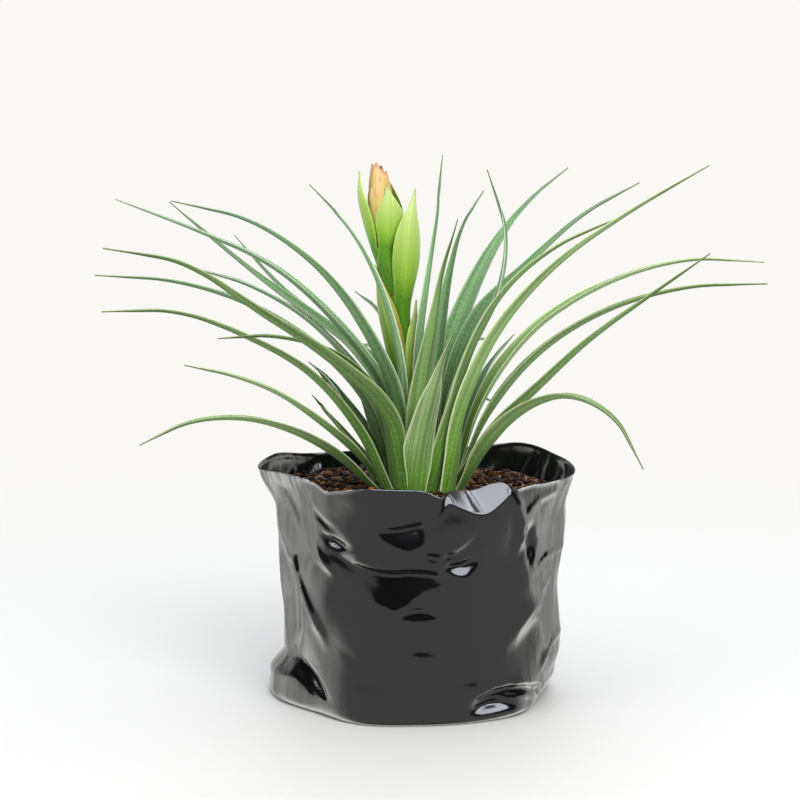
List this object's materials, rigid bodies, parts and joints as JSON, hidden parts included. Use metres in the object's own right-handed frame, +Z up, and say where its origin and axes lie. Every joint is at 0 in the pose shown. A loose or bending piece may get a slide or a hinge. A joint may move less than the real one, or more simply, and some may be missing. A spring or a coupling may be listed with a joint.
{
  "type": "potted air plant",
  "caption": "Rosette of long, channelled, grey-green leaves round a young flower spike, in a crumpled black plastic grow bag filled with coco chips.",
  "frame": {"origin": "centre of the bag's flat underside, on the surface that it stands on", "axes": "+Z up; the front of the plant faces -Y; +X to the right as seen from the front"},
  "size_m": [0.2916, 0.2046, 0.23],
  "materials": {
    "bag_film": "glossy crumpled black polythene film",
    "coco_mix": "dry, loose brown coco chips and fibre",
    "stem_tissue": "matte green plant stem",
    "leaf_front": "satin green leaf under a thin silvery scale, paler at its margins",
    "leaf_back": "satin bluish grey-green leaf under a denser silvery scale",
    "stalk_green": "smooth, slightly waxy yellow-green stalk",
    "bract_lime": "smooth lime bract, paler towards its tip",
    "petal_tan": "papery tan petal with pinkish edges"
  },
  "bodies": {
    "root": {"grow_bag": "bag_film", "potting_mix": "coco_mix", "plant_stem": "stem_tissue", "leaf_01": "leaf_front", "leaf_02": "leaf_front", "leaf_03": "leaf_front", "leaf_04": "leaf_front", "leaf_05": "leaf_front", "leaf_06": "leaf_back", "leaf_07": "leaf_back", "leaf_08": "leaf_back", "leaf_09": "leaf_back", "leaf_10": "leaf_back", "leaf_11": "leaf_back", "leaf_12": "leaf_back", "leaf_13": "leaf_back", "leaf_14": "leaf_back", "leaf_15": "leaf_front", "leaf_16": "leaf_back", "leaf_17": "leaf_back", "leaf_18": "leaf_back", "leaf_19": "leaf_back", "leaf_20": "leaf_front", "leaf_21": "leaf_front", "leaf_22": "leaf_back", "leaf_23": "leaf_front", "leaf_24": "leaf_front", "leaf_25": "leaf_front", "leaf_26": "leaf_front", "leaf_27": "leaf_front", "leaf_28": "leaf_front", "leaf_29": "leaf_front", "leaf_30": "leaf_back", "leaf_31": "leaf_back", "leaf_32": "leaf_back", "leaf_33": "leaf_back", "leaf_34": "leaf_back", "leaf_35": "leaf_back", "leaf_36": "leaf_back", "leaf_37": "leaf_back", "flower_stalk": "stalk_green", "bract_right": "bract_lime", "bract_bud_front": "bract_lime", "bract_bud_back": "bract_lime", "bract_bud_left": "bract_lime", "bract_stalk_left": "bract_lime", "bract_stalk_right": "bract_lime", "flower_bud": "petal_tan"}
  },
  "joints": []
}
